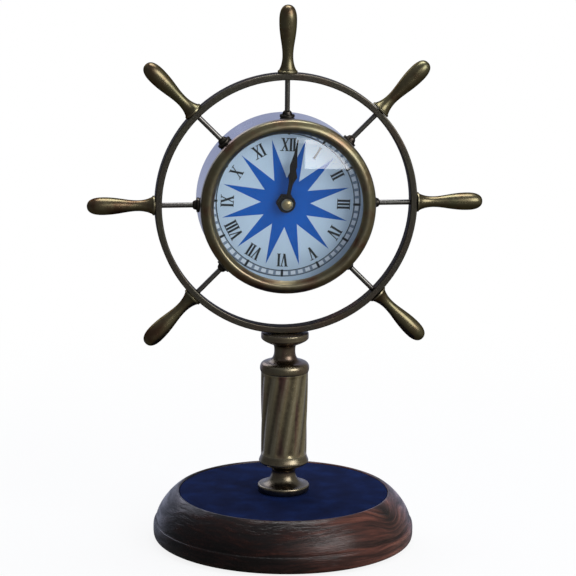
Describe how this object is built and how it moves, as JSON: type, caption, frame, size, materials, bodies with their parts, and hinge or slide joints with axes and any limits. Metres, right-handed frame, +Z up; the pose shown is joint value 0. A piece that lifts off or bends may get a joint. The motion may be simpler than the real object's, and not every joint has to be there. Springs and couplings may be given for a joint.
{
  "type": "table clock",
  "caption": "Ship's wheel table clock: round quartz clock held by spokes in a handled wheel, on a spiral-fluted brass column over a round domed wooden base.",
  "frame": {"origin": "centre of the underside of the felt pad under the wooden base", "axes": "+Z up; -Y is the front, which the dial faces; +X to the right seen from the front"},
  "size_m": [0.2296, 0.153, 0.3149],
  "materials": {
    "underside_felt": "dark green felt",
    "polished_wood": "dark reddish brown sheesham, polished with lacquer",
    "blue_felt": "dark navy felt",
    "zinc_steel": "zinc plated",
    "antique_brass": "antique brown patina, polished high spots, lacquered",
    "dark_brass": "dark gunmetal brown patina, satin",
    "polished_nickel": "polished nickel plate",
    "clear_glass": "clear flat glass",
    "grey_card": "pale grey card",
    "printed_dial": "pale bluish white print with a blue star and dark numerals",
    "bright_brass": "polished",
    "black_lacquer": "black gloss lacquer",
    "white_plastic": "moulded acetal",
    "black_plastic": "moulded ABS, fine texture",
    "black_rubber": "soft rubber",
    "board_green": "solder resist",
    "copper_wire": "enamelled copper wire",
    "battery_jacket": "plain printed jacket"
  },
  "bodies": {
    "stand_and_case": {"bottom_felt_pad": "underside_felt", "wooden_base": "polished_wood", "top_felt_disc": "blue_felt", "base_washer": "zinc_steel", "base_nut": "zinc_steel", "tie_rod": "zinc_steel", "battery_contact_positive": "zinc_steel", "battery_contact_negative": "zinc_steel", "column_foot": "antique_brass", "fluted_column": "antique_brass", "column_cap": "antique_brass", "bezel": "antique_brass", "back_plate": "antique_brass", "handle_1": "antique_brass", "handle_2": "antique_brass", "handle_3": "antique_brass", "handle_4": "antique_brass", "handle_5": "antique_brass", "handle_6": "antique_brass", "handle_7": "antique_brass", "wheel_ring": "dark_brass", "ring_screw": "dark_brass", "dial_nut": "dark_brass", "spoke_rod_1": "dark_brass", "spoke_rod_2": "dark_brass", "spoke_rod_3": "dark_brass", "spoke_rod_4": "dark_brass", "spoke_rod_5": "dark_brass", "spoke_rod_6": "dark_brass", "spoke_rod_7": "dark_brass", "spoke_collar_1": "dark_brass", "spoke_collar_2": "dark_brass", "spoke_collar_3": "dark_brass", "spoke_collar_4": "dark_brass", "spoke_collar_5": "dark_brass", "spoke_collar_6": "dark_brass", "spoke_collar_7": "dark_brass", "clock_drum": "polished_nickel", "glass": "clear_glass", "spacer_ring": "grey_card", "dial": "printed_dial", "threaded_bush": "bright_brass", "back_plate_screw_1": "bright_brass", "back_plate_screw_2": "bright_brass", "back_plate_screw_3": "bright_brass", "back_plate_screw_4": "bright_brass", "drive_unit": "white_plastic", "movement_cover": "black_plastic", "movement_case": "black_plastic", "dial_washer": "black_rubber", "circuit_board": "board_green", "coil": "copper_wire"},
    "minute_work": {"minute_hand": "black_lacquer", "hand_cap_nut": "bright_brass", "minute_arbor": "zinc_steel"},
    "hour_work": {"hour_hand": "black_lacquer", "hour_wheel": "white_plastic"},
    "minute_wheel_arbor": {"minute_wheel": "white_plastic"},
    "setting_knob_work": {"setting_knob": "black_plastic"},
    "battery_cell": {"battery": "battery_jacket"}
  },
  "joints": [
    {"name": "minute_hand_turn", "type": "hinge", "parent": "stand_and_case", "child": "minute_work", "pos_m": [0, 0, 0.20005], "axis": [0, 1, 0], "continuous": true},
    {"name": "hour_hand_turn", "type": "hinge", "parent": "stand_and_case", "child": "hour_work", "pos_m": [0, 0, 0.20005], "axis": [0, 1, 0], "continuous": true},
    {"name": "minute_wheel_turn", "type": "hinge", "parent": "stand_and_case", "child": "minute_wheel_arbor", "pos_m": [0.005, 0, 0.20871], "axis": [0, 1, 0], "continuous": true},
    {"name": "setting_knob_turn", "type": "hinge", "parent": "stand_and_case", "child": "setting_knob_work", "pos_m": [0, 0, 0.21879], "axis": [0, 1, 0], "continuous": true},
    {"name": "battery_slide", "type": "slide", "parent": "stand_and_case", "child": "battery_cell", "axis": [0, 1, 0], "range_m": [0, 0.022]}
  ],
  "couplings": [
    {"joint": "hour_hand_turn", "follows": "minute_hand_turn", "ratio": 0.083333},
    {"joint": "minute_wheel_turn", "follows": "minute_hand_turn", "ratio": -0.33333},
    {"joint": "setting_knob_turn", "follows": "minute_hand_turn", "ratio": 0.66667}
  ]
}
